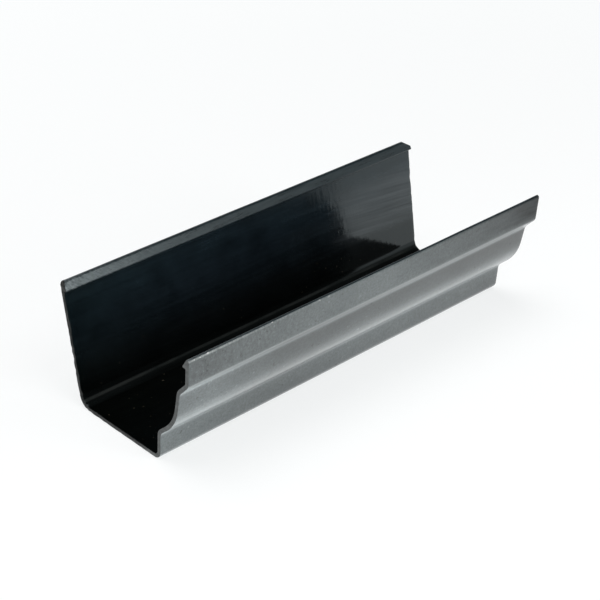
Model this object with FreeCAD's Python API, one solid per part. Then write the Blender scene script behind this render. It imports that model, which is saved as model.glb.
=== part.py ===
import FreeCAD, Part
import math
import os

# A cut length of moulded (ogee) rainwater gutter: an open trough of even wall, made in one piece.
# In the model +X runs along the gutter, -Y faces away from the building and +Z is up. The origin
# lies at mid-length and mid-width on the underside of the sole.
# The section is laid out flat as corners (reach, height): reach grows towards the street, height
# upwards, and (0, 0) is where the sole's plane meets the lower fascia's. Its straight walls meet
# at these corners, which are then rounded by arcs.

# Overall sizes, mm
length = 353.0
wall = 3.5
sole_width = 95.2                     # from the back wall's plane to the lower fascia's
back_height = 102.7

# Both sides splay outward from plumb
back_lean = math.radians(6.6)
fascia_lean = math.radians(6.2)

# The ogee front, from the sole upward. Slopes are from level
lower_fascia_height = 23.7
shelf_slope = math.radians(40.5)
ovolo_top_slope = math.radians(77.0)
ogee_height = 44.7                    # from the foot of the shelf to the top of the ovolo
ogee_reach = 25.5                     # how far the ovolo's top stands out past the shelf's foot
step_slope = math.radians(45.0)
step_reach = 9.8
upper_fascia_height = 22.3

# Radii on the outer face
sole_back_radius = 12.0
sole_front_radius = 7.5
lower_cove_radius = 7.0
ovolo_radius = 42.0
upper_cove_radius = 8.0
shoulder_radius = 6.0

# The rim that stiffens each top edge: a crown, sloping down to a nib over the trough
nib_reach = 3.1                       # how far the nib stands in past the wall
nib_drop = 6.6                        # from the crown down to the nib's point
nib_depth = 1.3
nib_radius = 0.6
front_crown_width = 2.8
front_edge_radius = 2.0
front_crown_radius = 1.2
back_crown_width = 4.4                # the back rim's top is fuller and almost a half round
back_edge_radius = 2.6
back_crown_radius = 2.2

# The back rim's top corners are snipped off at the sawn ends, as (along the run, down)
first_end_snip = (1.5, 4.0)
far_end_snip = (7.0, 4.6)
snip_overshoot = 5.0

sharpest_inner_radius = 0.5
straight_left_between_arcs = 0.02     # as a share of the wall between two rounded corners


def point(reach, height):
    return FreeCAD.Vector(reach, height, 0)


def heading(slope):
    return point(math.cos(slope), math.sin(slope))


def to_the_left(direction):
    return point(-direction.y, direction.x)


def crossing(start_a, heading_a, start_b, heading_b):
    """The point where two lines of the section cross."""
    gap = start_b - start_a
    turn = heading_a.x * heading_b.y - heading_a.y * heading_b.x
    return start_a + heading_a * ((gap.x * heading_b.y - gap.y * heading_b.x) / turn)


def outer_face():
    """Corners of the outer face with their radii, from the back top edge round to the front one."""
    back_top = point(-sole_width - back_height * math.tan(back_lean), back_height)
    shelf_foot = point(lower_fascia_height * math.tan(fascia_lean), lower_fascia_height)
    ovolo_top = shelf_foot + point(ogee_reach, ogee_height)
    ovolo_corner = crossing(shelf_foot, heading(shelf_slope), ovolo_top, heading(ovolo_top_slope))
    shoulder = ovolo_top + point(step_reach, step_reach * math.tan(step_slope))
    front_top = shoulder + point(upper_fascia_height * math.tan(fascia_lean), upper_fascia_height)
    return [
        (back_top, back_edge_radius),
        (point(-sole_width, 0), sole_back_radius),
        (point(0, 0), sole_front_radius),
        (shelf_foot, lower_cove_radius),
        (ovolo_corner, ovolo_radius),
        (ovolo_top, upper_cove_radius),
        (shoulder, shoulder_radius),
        (front_top, front_edge_radius),
    ]


def inner_face(outer):
    """Corners of the trough between the two rims: each wall moved in by its thickness, arcs concentric."""
    corners = [corner for corner, radius in outer]
    headings = [(end - start).normalize() for start, end in zip(corners[:-1], corners[1:])]
    inner = []
    for index in range(1, len(corners) - 1):
        before, after = headings[index - 1], headings[index]
        start_before = corners[index] + to_the_left(before) * wall
        start_after = corners[index] + to_the_left(after) * wall
        turns_left = before.x * after.y - before.y * after.x > 0
        radius = outer[index][1]
        inner_radius = max(radius - wall, sharpest_inner_radius) if turns_left else radius + wall
        inner.append((crossing(start_before, before, start_after, after), inner_radius))
    return inner


def rim(edge, wall_up, inward, crown_width, crown_radius):
    """Corners of a rim, from the crown's inner side round the nib to its root on the wall's inner face."""
    crown_inner = edge + point(math.copysign(crown_width, inward.x), 0)
    root_height = edge.y - nib_drop - nib_depth
    inner_start = edge + inward * wall
    root = inner_start + wall_up * ((root_height - inner_start.y) / wall_up.y)
    nib_under = root + point(math.copysign(nib_reach, inward.x), 0)
    nib_point = nib_under + point(0, nib_depth)
    return [(crown_inner, crown_radius), (nib_point, nib_radius), (nib_under, nib_radius), (root, nib_radius)]


def section_corners():
    """The whole section as one closed loop of (corner, radius)."""
    outer = outer_face()
    back_top, front_top = outer[0][0], outer[-1][0]
    back_up = (back_top - outer[1][0]).normalize()
    front_up = (front_top - outer[-2][0]).normalize()
    front_in = to_the_left(front_up)
    back_in = to_the_left(back_up) * -1
    front_rim = rim(front_top, front_up, front_in, front_crown_width, front_crown_radius)
    back_rim = rim(back_top, back_up, back_in, back_crown_width, back_crown_radius)
    return outer + front_rim + inner_face(outer)[::-1] + back_rim[::-1]


def rounded_section(corners):
    """A wire of straight walls and tangent arcs. Arcs that would run into each other are cut back."""
    count = len(corners)
    points = [corner for corner, radius in corners]
    sides = [(points[(i + 1) % count] - points[i]).Length for i in range(count)]
    half_turns = []
    for i in range(count):
        half_turns.append((points[i] - points[i - 1]).getAngle(points[(i + 1) % count] - points[i]) / 2)
    tangents = [radius * math.tan(half_turns[i]) for i, (corner, radius) in enumerate(corners)]
    share = [1.0] * count
    for i in range(count):
        after = (i + 1) % count
        room = sides[i] * (1 - straight_left_between_arcs) / (tangents[i] + tangents[after])
        share[i] = min(share[i], room)
        share[after] = min(share[after], room)
    arcs = []
    for i in range(count):
        back = (points[i - 1] - points[i]).normalize()
        ahead = (points[(i + 1) % count] - points[i]).normalize()
        tangent = tangents[i] * share[i]
        radius = tangent / math.tan(half_turns[i])
        middle = points[i] + (back + ahead).normalize() * (radius / math.cos(half_turns[i]) - radius)
        arcs.append((points[i] + back * tangent, middle, points[i] + ahead * tangent))
    edges = []
    for i in range(count):
        edges.append(Part.Arc(*[in_place(p) for p in arcs[i]]).toShape())
        edges.append(Part.LineSegment(in_place(arcs[i][2]), in_place(arcs[(i + 1) % count][0])).toShape())
    return Part.Wire(edges)


def in_place(flat):
    """A point of the flat section, stood up on the gutter's first end."""
    return FreeCAD.Vector(-length / 2, -flat.x, flat.y)


def snip(end, inward, run_and_drop):
    """The wedge that comes off the back rim's top corner at one end of the gutter."""
    run, drop = run_and_drop
    on_top = FreeCAD.Vector(end + inward * run, 0, back_height)
    on_end = FreeCAD.Vector(end, 0, back_height - drop)
    past = (on_top - on_end).normalize() * snip_overshoot
    outside = FreeCAD.Vector(end - inward * snip_overshoot, 0, back_height + snip_overshoot)
    wedge = Part.Face(Part.makePolygon([on_top + past, on_end - past, outside, on_top + past]))
    return wedge.extrude(FreeCAD.Vector(0, sole_width + back_height, 0))


section = Part.Face(rounded_section(section_corners()))
gutter = section.extrude(FreeCAD.Vector(length, 0, 0))
box = gutter.BoundBox
gutter.translate(FreeCAD.Vector(0, -(box.YMin + box.YMax) / 2, -box.ZMin))
gutter = gutter.cut(snip(-length / 2, 1, first_end_snip))
gutter = gutter.cut(snip(length / 2, -1, far_end_snip)).Solids[0]

os.makedirs("parts", exist_ok=True)
gutter.exportStep("parts/gutter_section.step")

box = gutter.BoundBox
print("valid", gutter.isValid(), gutter.ShapeType, "volume", round(gutter.Volume, 1))
print("section area", round(section.Area, 2), "solids", len(gutter.Solids), "faces", len(gutter.Faces))
print("size", round(box.XLength, 3), round(box.YLength, 3), round(box.ZLength, 3))
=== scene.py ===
import math

import bmesh
import bpy
from mathutils import Matrix, Vector, noise


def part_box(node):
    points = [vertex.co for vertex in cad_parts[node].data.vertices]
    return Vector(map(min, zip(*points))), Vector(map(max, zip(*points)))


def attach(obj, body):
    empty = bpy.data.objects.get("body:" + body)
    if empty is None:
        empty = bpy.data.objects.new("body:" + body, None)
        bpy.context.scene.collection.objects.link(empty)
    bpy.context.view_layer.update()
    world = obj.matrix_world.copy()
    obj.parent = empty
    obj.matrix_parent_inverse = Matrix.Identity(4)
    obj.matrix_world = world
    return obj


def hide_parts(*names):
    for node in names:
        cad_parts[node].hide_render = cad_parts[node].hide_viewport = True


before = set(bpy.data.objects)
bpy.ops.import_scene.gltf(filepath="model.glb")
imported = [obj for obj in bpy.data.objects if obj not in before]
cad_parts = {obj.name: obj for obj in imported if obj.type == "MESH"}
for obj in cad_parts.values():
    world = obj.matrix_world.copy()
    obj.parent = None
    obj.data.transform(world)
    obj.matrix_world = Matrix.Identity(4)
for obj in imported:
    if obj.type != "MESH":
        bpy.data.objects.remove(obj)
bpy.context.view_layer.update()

# A cut length of moulded gutter: an open trough, satin grey paint outside, gloss black paint inside,
# sawn at both ends. +X runs along it, -Y is the moulded front, +Z is up. Everything is in metres.
MM = 0.001
low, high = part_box("gutter_section")
centre = (low + high) / 2

# The skin is cut into short bays, so that it can carry the unevenness of a casting
weld_distance = 0.002 * MM
flat_angle = math.radians(0.05)
bay_length = 3.0 * MM
strip_width = 3.0 * MM
crease_angle = math.radians(32)

# The knife edge of the saw cuts is eased
cut_slope = 0.99          # a face turned this far along the run is the flat of a saw cut
arris_width = 0.25 * MM
arris_steps = 2

# How deep the unevenness goes into the skin, and how long its waves are along and across the run
slow_waves = {"depth": 0.22 * MM, "along": 62 * MM, "across": 34 * MM, "seed": 3.1}
hammered_waves = {"depth": 0.05 * MM, "along": 15 * MM, "across": 8 * MM, "seed": 17.7}

# The saw cuts are whole and bare on the front. Behind it they are nicked, and smeared with black
bare_cut_end = -22 * MM
smeared_cut_start = -6 * MM
nick_depth = 1.1 * MM
nick_length = 3.6 * MM
nick_threshold = 0.05     # noise below this leaves the cut whole
nick_seed = 5.3
nicked_ring = 1.0 * MM    # how far from the cut the metal moves with it

# Which of the five finishes a face wears
OUTSIDE, INSIDE, RIM, FOOT, SAWN = range(5)
sawn_slope = 0.3          # a face turned this far towards the ends belongs to a saw cut
crown_slope = 0.75        # a face at the top turned this far upwards belongs to the rim's crown
rim_depth = 7.5 * MM      # how far below the top of either side its rim reaches
foot_height = 11.4 * MM   # how high the rounds at the foot of the walls reach
sole_slope = 0.9995       # a face turned this far upwards is the flat of the sole
trough_y = centre.y + 8 * MM    # a line in the open trough, which every face of the inside looks at
trough_z = high.z * 0.75


def grey(value):
    return (value, value, value, 1)


def greys(stops, start=0, way=1):
    """Grey stops in metres, from (millimetres from a start, value) ones. A way of -1 counts back."""
    return [(start + way * distance * MM, grey(value)) for distance, value in stops]


class Recipe:
    """The nodes of one finish. Each step makes a pattern or lays one over another."""

    def __init__(self, tree):
        self.nodes = tree.nodes
        self.links = tree.links

    def step(self, kind):
        return self.nodes.new("ShaderNode" + kind)

    def feed(self, socket, value):
        """Wires a pattern to a socket, or sets a plain value there."""
        if isinstance(value, bpy.types.NodeSocket):
            self.links.new(value, socket)
        else:
            socket.default_value = value

    def place(self):
        return self.step("TexCoord").outputs["Object"]

    def part(self, vector, axis):
        parts = self.step("SeparateXYZ")
        self.feed(parts.inputs["Vector"], vector)
        return parts.outputs[axis]

    def share(self, value, first, last):
        """How far a value has come from first to last, from 0 to 1."""
        span = self.step("MapRange")
        self.feed(span.inputs["Value"], value)
        span.inputs["From Min"].default_value = first
        span.inputs["From Max"].default_value = last
        return span.outputs["Result"]

    def stretched_place(self, scale, tilt):
        """The place, tilted about Y, then scaled to so many waves per metre along X, Y and Z."""
        turn = self.step("Mapping")
        turn.inputs["Rotation"].default_value = (0, tilt, 0)
        self.feed(turn.inputs["Vector"], self.place())
        stretch = self.step("Mapping")
        stretch.inputs["Scale"].default_value = scale
        self.feed(stretch.inputs["Vector"], turn.outputs["Vector"])
        return stretch.outputs["Vector"]

    def noise(self, scale, detail=3.0, roughness=0.55, distortion=0.0, tilt=0.0):
        """A cloudy pattern with so many waves per metre along X, Y and Z."""
        pattern = self.step("TexNoise")
        pattern.inputs["Scale"].default_value = 1.0
        pattern.inputs["Detail"].default_value = detail
        pattern.inputs["Roughness"].default_value = roughness
        pattern.inputs["Distortion"].default_value = distortion
        self.feed(pattern.inputs["Vector"], self.stretched_place(scale, tilt))
        return pattern.outputs[0]

    def ramp(self, factor, stops):
        """A colour or grey that follows a pattern's value through (position, colour) stops."""
        node = self.step("ValToRGB")
        elements = node.color_ramp.elements
        for element, (position, colour) in zip(elements, (stops[0], stops[-1])):
            element.position = position
            element.color = colour
        for position, colour in stops[1:-1]:
            elements.new(position).color = colour
        self.feed(node.inputs["Fac"], factor)
        return node.outputs["Color"]

    def along(self, axis, stops):
        """A colour that changes with the place along one axis, through (metres, colour) stops."""
        first, last = stops[0][0], stops[-1][0]
        shares = [((distance - first) / (last - first), colour) for distance, colour in stops]
        return self.ramp(self.share(self.part(self.place(), axis), first, last), shares)

    def facing_down(self):
        """From 0 on the fascias to 1 on faces that look at the ground at 45 degrees or more."""
        normal = self.step("NewGeometry").outputs["Normal"]
        return self.share(self.part(normal, "Z"), first=-0.3, last=-0.7)

    def mix(self, factor, under, over, blend="MIX"):
        node = self.step("Mix")
        node.data_type = "RGBA"
        node.blend_type = blend
        for name, value in (("Factor_Float", factor), ("A_Color", under), ("B_Color", over)):
            self.feed(next(s for s in node.inputs if s.identifier == name), value)
        return next(s for s in node.outputs if s.identifier == "Result_Color")

    def multiply(self, under, over):
        return self.mix(1.0, under, over, "MULTIPLY")

    def most_of(self, values):
        """The greatest of several values."""
        greatest = values[0]
        for value in values[1:]:
            either = self.step("Math")
            either.operation = "MAXIMUM"
            self.feed(either.inputs[0], greatest)
            self.feed(either.inputs[1], value)
            greatest = either.outputs[0]
        return greatest

    def shade(self, colour, levels, where):
        """A colour multiplied by levels, but only where a mask lets it."""
        return self.mix(where, colour, self.multiply(colour, levels))

    def bump(self, height, distance, under=None, strength=1.0):
        node = self.step("Bump")
        self.feed(node.inputs["Strength"], strength)
        node.inputs["Distance"].default_value = distance
        self.feed(node.inputs["Height"], height)
        if under is not None:
            self.feed(node.inputs["Normal"], under)
        return node.outputs["Normal"]


def new_finish(name):
    """An empty material, with its recipe and the sockets of its shader."""
    material = bpy.data.materials.new(name)
    material.use_nodes = True
    return material, Recipe(material.node_tree), material.node_tree.nodes["Principled BSDF"].inputs


def painted_light_on_front(paint, colour, front):
    """Painted light and shade on the front: painted shade below the step, painted light near the first end,
    a painted reflection of the floor on pale undersides, and a darker patch of painted shade.
    """
    # Painted shade below the step along the front, giving way to painted light near the first end
    shade_below_step = [(12, 0.78), (24, 0.97), (38, 0.93), (46, 0.74), (56, 0.42), (66, 0.3), (70, 0.9), (80, 0.94)]
    light_near_first_end = [(12, 1.08), (24, 1.24), (46, 1.25), (62, 1.0), (70, 1.3), (76, 1.25), (80, 0.92)]
    first_end_light_share = paint.along("X", greys([(20, 1), (110, 0.35), (240, 0.22), (345, 0)], low.x))
    front_light_and_shade = paint.mix(first_end_light_share, paint.along("Z", greys(shade_below_step)), paint.along("Z", greys(light_near_first_end)))
    colour = paint.shade(colour, front_light_and_shade, front)
    # Painted reflection of the floor: faces that look down are lighter, in patches along the run
    pale = [(0, 2.7), (60, 1.8), (105, 1.2), (160, 1.6), (225, 1.95), (353, 2.0)]
    colour = paint.shade(colour, paint.along("X", greys(pale, low.x)), paint.facing_down())
    # Painted shade: a darker patch below the step, 50 to 165 mm from the first end
    patch_shade = paint.along("X", greys([(50, 1), (85, 0.84), (125, 0.84), (165, 1)], low.x))
    below_step = paint.multiply(paint.along("Z", greys([(64, 1), (72, 0)])), front)
    return paint.shade(colour, patch_shade, below_step)


def satin_grey_paint():
    """Grey paint over a casting: finely speckled, brushed at the ends, chipped at its top edge, with
    painted light and shade on the front and a painted highlight along its top edge.
    """
    material, paint, shader = new_finish("satin_grey_paint")
    mottle = paint.noise((22, 34, 34), detail=4)
    colour = paint.ramp(mottle, [(0.3, (0.078, 0.094, 0.097, 1)), (0.7, (0.106, 0.125, 0.128, 1))])
    front = paint.along("Y", greys([(-28, 1), (-12, 0)]))
    # Painted light and shade on the front, laid over the paint's own colour
    colour = painted_light_on_front(paint, colour, front)
    grain = paint.noise((620, 620, 620), detail=3, roughness=0.7)
    colour = paint.multiply(colour, paint.ramp(grain, [(0.3, grey(0.7)), (0.7, grey(1.27))]))

    # The upper fascia: brushed and scored towards the first end, streaked and dull towards the other
    upper = paint.multiply(paint.along("Z", greys([(74, 0), (84, 1)])), front)
    on_brushed = paint.multiply(upper, paint.along("X", greys([(30, 1), (160, 0)], low.x)))
    scores = paint.noise((400, 190, 190), detail=4, roughness=0.65, distortion=1.2)
    scored = [(0.32, grey(0.25)), (0.43, grey(0.66)), (0.6, grey(0.74)), (0.72, grey(1.4))]
    colour = paint.shade(colour, paint.ramp(scores, scored), on_brushed)
    far_end = paint.along("X", greys([(180, 0), (110, 0.3), (45, 0.62), (8, 1)], high.x, -1))
    on_dull = paint.multiply(upper, far_end)
    strokes = paint.noise((40, 260, 260), detail=4, roughness=0.6)
    streaked = [(0.3, (0.02, 0.023, 0.024, 1)), (0.7, (0.28, 0.3, 0.31, 1))]
    colour = paint.shade(colour, paint.ramp(strokes, streaked), on_dull)

    # Light and dark flecks all over, and along the front's top edge near the first end a painted highlight
    # and chips
    flecks = paint.noise((250, 250, 250), detail=1)
    flecked = [(0.24, grey(1.4)), (0.28, grey(1)), (0.73, grey(1)), (0.77, grey(0.6))]
    colour = paint.multiply(colour, paint.ramp(flecks, flecked))
    # Painted highlight: a lighter line along the front's top edge near the first end
    edge_highlight_band = paint.multiply(paint.along("Z", greys([(98.3, 0), (98.9, 0.8)])), on_brushed)
    painted_edge_highlight = paint.ramp(scores, [(0.42, (0.11, 0.125, 0.125, 1)), (0.6, (0.2, 0.22, 0.22, 1))])
    colour = paint.mix(edge_highlight_band, colour, painted_edge_highlight)
    chips = paint.ramp(paint.noise((210, 400, 400), detail=1), [(0.66, grey(0)), (0.68, grey(1))])
    top_edge = paint.multiply(paint.along("Z", greys([(98.6, 0), (99.2, 1)])), on_brushed)
    chipped = (0.5, 0.51, 0.5, 1)
    paint.feed(shader["Base Color"], paint.mix(paint.multiply(chips, top_edge), colour, chipped))

    paint.feed(shader["Roughness"], paint.ramp(grain, [(0.3, grey(0.36)), (0.7, grey(0.48))]))
    paint.feed(shader["Specular IOR Level"], 0.25)
    paint.feed(shader["Coat Weight"], paint.ramp(on_dull, [(0, grey(0.95)), (1, grey(0.18))]))
    paint.feed(shader["Coat Roughness"], 0.2)
    peel = paint.bump(paint.noise((420, 420, 420), detail=2), 0.075 * MM)
    lumps = paint.noise((130, 90, 90), detail=2)
    paint.feed(shader["Normal"], paint.bump(lumps, 0.10 * MM, peel))
    return material


def gloss_black_paint():
    """Bituminous gloss, brushed along the run, with painted shade: black in the sole, lighter and bluer
    towards the rims, darker at the first end; lighter strokes of painted reflection on the last third.
    """
    material, paint, shader = new_finish("gloss_black_paint")
    # Painted shade: darker down in the trough, lighter and bluer towards the rims
    shade_by_height = [(8 * MM, (0.0014, 0.0018, 0.0016, 1)), (30 * MM, (0.0040, 0.0055, 0.0062, 1)),
             (60 * MM, (0.0078, 0.0124, 0.0162, 1)), (98 * MM, (0.0072, 0.0135, 0.0178, 1))]
    # Painted shade: the inside darker towards the first end
    first_end = [(low.x, (0.6, 0.66, 0.62, 1)), (low.x + 110 * MM, grey(1))]
    colour = paint.multiply(paint.along("Z", shade_by_height), paint.along("X", first_end))
    clouds = paint.noise((45, 40, 40), detail=3)
    streaks = paint.noise((14, 380, 380), detail=4, roughness=0.6)
    colour = paint.multiply(colour, paint.ramp(clouds, [(0.3, grey(0.7)), (0.7, grey(1.25))]))
    colour = paint.multiply(colour, paint.ramp(streaks, [(0.3, grey(0.78)), (0.7, grey(1.25))]))

    # Specks of dust on the sole and low on the walls
    specks = paint.ramp(paint.noise((330, 330, 330), detail=1), [(0.735, grey(0)), (0.76, grey(1))])
    on_specks = paint.multiply(specks, paint.along("Z", greys([(12, 1), (42, 0)])))
    colour = paint.mix(on_specks, colour, (0.035, 0.03, 0.022, 1))

    # Painted reflection: lighter strokes on the last third of the walls, falling a little towards the end
    reflection_streaks = paint.noise((9, 230, 230), detail=4, roughness=0.55, tilt=math.radians(-6))
    painted_reflection_strokes = paint.ramp(reflection_streaks, [(0.26, grey(0)), (0.68, grey(1))])
    last_third = paint.along("X", greys([(100, 0), (60, 1)], high.x, -1))
    belt = paint.along("Z", greys([(29, 0), (42, 1), (62, 1), (86, 0)]))
    on_painted_reflection = paint.multiply(painted_reflection_strokes, paint.multiply(last_third, belt))
    paint.feed(shader["Base Color"], paint.mix(on_painted_reflection, colour, (0.066, 0.075, 0.081, 1)))

    paint.feed(shader["IOR"], 1.5)
    paint.feed(shader["Specular Tint"], (0.86, 0.98, 1.0, 1))
    rough = paint.ramp(streaks, [(0.3, grey(0.05)), (0.7, grey(0.11))])
    duller_above = paint.along("Z", greys([(64, 0), (96, 0.2)]))
    paint.feed(shader["Roughness"], paint.mix(1.0, rough, duller_above, "ADD"))
    level_paint = paint.along("Z", greys([(4.5, 0.2), (14, 1)]))
    wisps = paint.noise((380, 110, 110), detail=3, roughness=0.6)
    fine = paint.bump(wisps, 0.08 * MM, strength=level_paint)
    fine = paint.bump(streaks, 0.012 * MM, fine)
    curtains = paint.noise((170, 70, 70), detail=3)
    paint.feed(shader["Normal"], paint.bump(curtains, 0.08 * MM, fine))
    return material


def pooled_black_paint():
    """The same black where it ran down and pooled at the foot of the walls: duller, as dark as the painted
    shade low in the trough, with a painted highlight line along the rounds.
    """
    material, paint, shader = new_finish("pooled_black_paint")
    skin = paint.noise((16, 200, 200), detail=4, roughness=0.6)
    colour = paint.ramp(skin, [(0.3, (0.0012, 0.0016, 0.0015, 1)), (0.7, (0.0032, 0.0042, 0.0042, 1))])
    # Painted highlight: a lighter line along the rounds, 5 to 8 mm up
    painted_highlight_line = paint.along("Z", greys([(5.1, 0), (5.8, 1), (6.7, 1), (7.6, 0)]))
    highlight_noise = paint.noise((30, 60, 60), detail=3)
    painted_highlight = paint.ramp(highlight_noise, [(0.35, (0.004, 0.0055, 0.005, 1)), (0.65, (0.016, 0.0175, 0.0165, 1))])
    paint.feed(shader["Base Color"], paint.mix(painted_highlight_line, colour, painted_highlight))
    paint.feed(shader["Specular IOR Level"], 0.3)
    paint.feed(shader["Specular Tint"], (0.8, 0.97, 1.0, 1))
    paint.feed(shader["Roughness"], paint.ramp(skin, [(0.3, grey(0.1)), (0.7, grey(0.2))]))
    paint.feed(shader["Normal"], paint.bump(skin, 0.03 * MM))
    return material


def rim_paint():
    """The same black, dulled by rubbing on the rims, with slanting grey scratches near the first end that
    also carry a painted highlight fading along the rim.
    """
    material, paint, shader = new_finish("rim_paint")
    strokes = paint.noise((60, 500, 500), detail=4, roughness=0.65)
    colour = paint.ramp(strokes, [(0.3, (0.0050, 0.0095, 0.0115, 1)), (0.7, (0.013, 0.021, 0.025, 1))])
    hatch = paint.noise((70, 700, 700), detail=2, roughness=0.6, tilt=math.radians(-50))
    scratches_and_highlight = paint.ramp(hatch, [(0.36, (0.010, 0.015, 0.018, 1)), (0.64, (0.074, 0.086, 0.090, 1))])
    # Grey scratches, with a painted highlight that fades away from the first end
    first_end = paint.along("X", greys([(6, 1), (30, 0.45), (90, 0.12), (200, 0)], low.x))
    paint.feed(shader["Base Color"], paint.mix(first_end, colour, scratches_and_highlight))
    paint.feed(shader["Specular Tint"], (0.86, 0.98, 1.0, 1))
    paint.feed(shader["Roughness"], paint.ramp(strokes, [(0.3, grey(0.24)), (0.7, grey(0.4))]))
    paint.feed(shader["Normal"], paint.bump(strokes, 0.04 * MM))
    return material


def sawn_metal():
    """A saw cut: bare and grey on the front, smeared over with the inside's black elsewhere."""
    material, metal, shader = new_finish("sawn_metal")
    smear = metal.noise((60, 240, 240), detail=4, roughness=0.65)
    bare = metal.ramp(smear, [(0.3, (0.044, 0.048, 0.048, 1)), (0.7, (0.100, 0.108, 0.108, 1))])
    smeared = metal.ramp(smear, [(0.4, (0.001, 0.002, 0.002, 1)), (0.7, (0.022, 0.023, 0.022, 1))])
    behind = metal.along("Y", [(bare_cut_end, grey(0)), (smeared_cut_start, grey(1))])
    metal.feed(shader["Base Color"], metal.mix(behind, bare, smeared))
    metal.feed(shader["Roughness"], 0.5)
    metal.feed(shader["Specular IOR Level"], 0.22)
    saw_strokes = metal.noise((100, 260, 1900), detail=2)
    metal.feed(shader["Normal"], metal.bump(saw_strokes, 0.05 * MM))
    return material


def slice_into_strips(bm, axis, spacing):
    """Cuts every face that crosses evenly spaced planes square to one axis."""
    normal = Vector((0, 0, 0))
    normal[axis] = 1
    span = high[axis] - low[axis]
    count = round(span / spacing)
    for i in range(1, count):
        on_plane = low + normal * (span * i / count)
        everything = bm.verts[:] + bm.edges[:] + bm.faces[:]
        bmesh.ops.bisect_plane(bm, geom=everything, dist=weld_distance, plane_co=on_plane, plane_no=normal)


def ease_sawn_edges(bm):
    """Takes the knife edge off the saw cuts, all the way round both ends."""
    arrises = []
    for edge in bm.edges:
        on_cut = [abs(face.normal.x) > cut_slope for face in edge.link_faces]
        if len(on_cut) == 2 and on_cut[0] != on_cut[1]:
            arrises.append(edge)
    bmesh.ops.bevel(bm, geom=arrises, offset=arris_width, offset_type="OFFSET", affect="EDGES",
                    segments=arris_steps, profile=0.5, material=-1, clamp_overlap=False)


def wave(place, shape):
    """How deep one kind of unevenness goes at a place."""
    across, seed = shape["across"], shape["seed"]
    spot = Vector((place.x / shape["along"], place.y / across, place.z / across + seed))
    return shape["depth"] * (0.5 + 0.5 * noise.noise(spot))


def nick(place):
    """How far a saw cut falls short at a place. It is whole on the front."""
    if abs(place.x) < high.x - nicked_ring:
        return 0
    share = min(max((place.y - bare_cut_end) / (smeared_cut_start - bare_cut_end), 0), 1)
    end_seed = round(place.x / high.x) * nick_seed
    spot = Vector((place.y / nick_length, place.z / nick_length, end_seed))
    return share * nick_depth * max(noise.noise(spot) - nick_threshold, 0)


def make_uneven(bm):
    """Sinks the skin by slow waves and small ones, and nicks the cuts. Nothing grows past the true size."""
    bm.normal_update()
    moves = []
    for vert in bm.verts:
        inward = -vert.normal
        inward.x = 0
        move = inward * (wave(vert.co, slow_waves) + wave(vert.co, hammered_waves))
        move.x = -math.copysign(nick(vert.co), vert.co.x)
        moves.append(move)
    for vert, move in zip(bm.verts, moves):
        vert.co += move


def finish_of(face):
    """Which of the five finishes a face wears, from where it lies and looks."""
    middle = face.calc_center_median()
    if abs(face.normal.x) > sawn_slope:
        return SAWN
    to_trough = Vector((0, trough_y - middle.y, trough_z - middle.z))
    looks_in = face.normal.dot(to_trough) > 0
    if middle.z > high.z - rim_depth and (face.normal.z > crown_slope or looks_in):
        return RIM
    if not looks_in:
        return OUTSIDE
    return FOOT if middle.z < foot_height and face.normal.z < sole_slope else INSIDE


def casting():
    """The whole gutter section, in one piece."""
    bm = bmesh.new()
    bm.from_mesh(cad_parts["gutter_section"].data)
    bmesh.ops.remove_doubles(bm, verts=bm.verts, dist=weld_distance)
    bmesh.ops.dissolve_limit(bm, angle_limit=flat_angle, verts=bm.verts, edges=bm.edges)
    ease_sawn_edges(bm)
    slice_into_strips(bm, 2, strip_width)
    slice_into_strips(bm, 1, strip_width)
    slice_into_strips(bm, 0, bay_length)
    make_uneven(bm)
    bmesh.ops.dissolve_degenerate(bm, edges=bm.edges, dist=weld_distance)
    bm.normal_update()
    for face in bm.faces:
        face.material_index = finish_of(face)
        face.smooth = True
    mesh = bpy.data.meshes.new("gutter_casting")
    bm.to_mesh(mesh)
    bm.free()
    mesh.set_sharp_from_angle(angle=crease_angle)
    finishes = {OUTSIDE: satin_grey_paint, INSIDE: gloss_black_paint, RIM: rim_paint,
                FOOT: pooled_black_paint, SAWN: sawn_metal}
    for index in sorted(finishes):
        mesh.materials.append(finishes[index]())
    piece = bpy.data.objects.new("gutter_casting", mesh)
    bpy.context.scene.collection.objects.link(piece)
    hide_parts("gutter_section")
    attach(piece, "root")


def pale_floor():
    """Matt and pale, to keep the shadow. Seen straight, mirrored or through glass, it glows white."""
    material, recipe, shader = new_finish("pale_floor")
    paths = recipe.step("LightPath").outputs
    mirrored = recipe.most_of([paths["Is Glossy Ray"], paths["Is Transmission Ray"]])
    seen = recipe.most_of([paths["Is Camera Ray"], mirrored])
    recipe.feed(shader["Base Color"], recipe.mix(seen, (0.86, 0.855, 0.85, 1), (1, 1, 1, 1)))
    recipe.feed(shader["Roughness"], 0.9)
    recipe.feed(shader["Specular IOR Level"], 0.0)
    glow = recipe.step("Emission")
    recipe.feed(glow.inputs["Color"], (0.98, 0.997, 1, 1))

    # The shadow is kept this close to the gutter's middle, then fades out into plain white
    shadow_reach = 0.4
    white_from = 1.2
    reach = recipe.step("VectorMath")
    reach.operation = "LENGTH"
    recipe.feed(reach.inputs[0], recipe.place())
    beyond = recipe.share(reach.outputs["Value"], shadow_reach, white_from)
    nearby = recipe.ramp(mirrored, [(0, grey(0.74)), (1, grey(0.9))])
    whiter = recipe.multiply(recipe.mix(beyond, nearby, grey(1)), seen)
    either = recipe.step("MixShader")
    recipe.feed(either.inputs[0], whiter)
    recipe.feed(either.inputs[1], material.node_tree.nodes["Principled BSDF"].outputs[0])
    recipe.feed(either.inputs[2], glow.outputs[0])
    recipe.feed(material.node_tree.nodes["Material Output"].inputs["Surface"], either.outputs[0])
    return material


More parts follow.
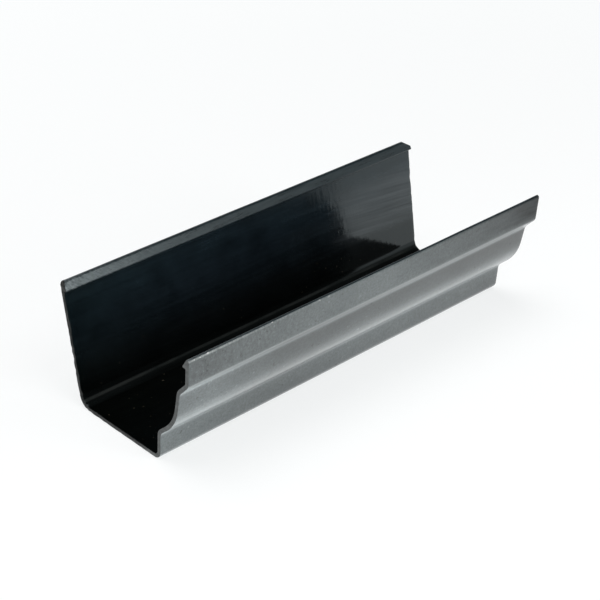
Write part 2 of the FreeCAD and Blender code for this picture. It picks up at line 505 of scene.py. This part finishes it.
def floor():
    """A plain floor, a hair below the gutter."""
    half_width = 6
    drop = 0.2 * MM
    bm = bmesh.new()
    bmesh.ops.create_grid(bm, x_segments=1, y_segments=1, size=half_width)
    mesh = bpy.data.meshes.new("floor")
    bm.to_mesh(mesh)
    bm.free()
    mesh.materials.append(pale_floor())
    ground = bpy.data.objects.new("floor", mesh)
    ground.location.z = -drop
    bpy.context.scene.collection.objects.link(ground)


def surroundings():
    """A white backdrop all round, up to a little above eye level, under a dim ceiling."""
    world = bpy.data.worlds.new("room")
    world.use_nodes = True
    room = Recipe(world.node_tree)
    direction = room.step("TexCoord").outputs["Generated"]
    levels = [(8, 1), (15, 0.32), (30, 0.19), (38, 0.17), (47, 0.04)]    # degrees up, strength
    stops = [(math.sin(math.radians(angle)), grey(level)) for angle, level in levels]
    room.feed(room.nodes["Background"].inputs["Color"], room.ramp(room.part(direction, "Z"), stops))
    bpy.context.scene.world = world


def softbox(name, place, width, height, watts):
    """A rectangular lamp at a place, facing the gutter."""
    lamp = bpy.data.lights.new(name, "AREA")
    lamp.shape = "RECTANGLE"
    lamp.size = width
    lamp.size_y = height
    lamp.energy = watts
    box = bpy.data.objects.new(name, lamp)
    box.location = place
    box.rotation_euler = (centre - Vector(place)).to_track_quat("-Z", "Y").to_euler()
    bpy.context.scene.collection.objects.link(box)


def camera():
    """A long lens above the front's near end, looking along the trough."""
    azimuth = math.radians(-41.803)
    elevation = math.radians(29.870)
    roll = math.radians(-1.119)
    distance = 1.1821
    aim_right = -0.00903
    aim_up = -0.00469
    level = Vector((-math.sin(azimuth), math.cos(azimuth), 0))
    look = level * math.cos(elevation) - Vector((0, 0, math.sin(elevation)))
    right = Vector((math.cos(azimuth), math.sin(azimuth), 0))
    up = right.cross(look)
    right, up = right * math.cos(roll) + up * math.sin(roll), up * math.cos(roll) - right * math.sin(roll)
    lens = bpy.data.cameras.new("camera")
    lens.sensor_width = 36
    lens.lens = 92.61
    lens.clip_start = 0.05
    lens.clip_end = 50
    view = bpy.data.objects.new("camera", lens)
    place = centre + right * aim_right + up * aim_up - look * distance
    turn = Matrix((right, up, -look)).transposed()
    view.matrix_world = Matrix.Translation(place) @ turn.to_4x4()
    bpy.context.scene.collection.objects.link(view)
    bpy.context.scene.camera = view


casting()
floor()
surroundings()
softbox("top_light", (-0.3, 0.2, 2.2), width=1.6, height=1.6, watts=31)
softbox("key_light", (-0.1, -1.0, 1.35), width=0.7, height=0.7, watts=7.2)
softbox("rim_light", (0.34, -1.15, 0.55), width=0.42, height=0.42, watts=4.1)
softbox("fill_light", (-0.75, -0.6, 0.12), width=0.4, height=0.3, watts=3.0)
softbox("back_light", (0.1, 1.5, 0.6), width=1.0, height=0.6, watts=3.5)
camera()
bpy.context.scene.view_settings.view_transform = "Standard"
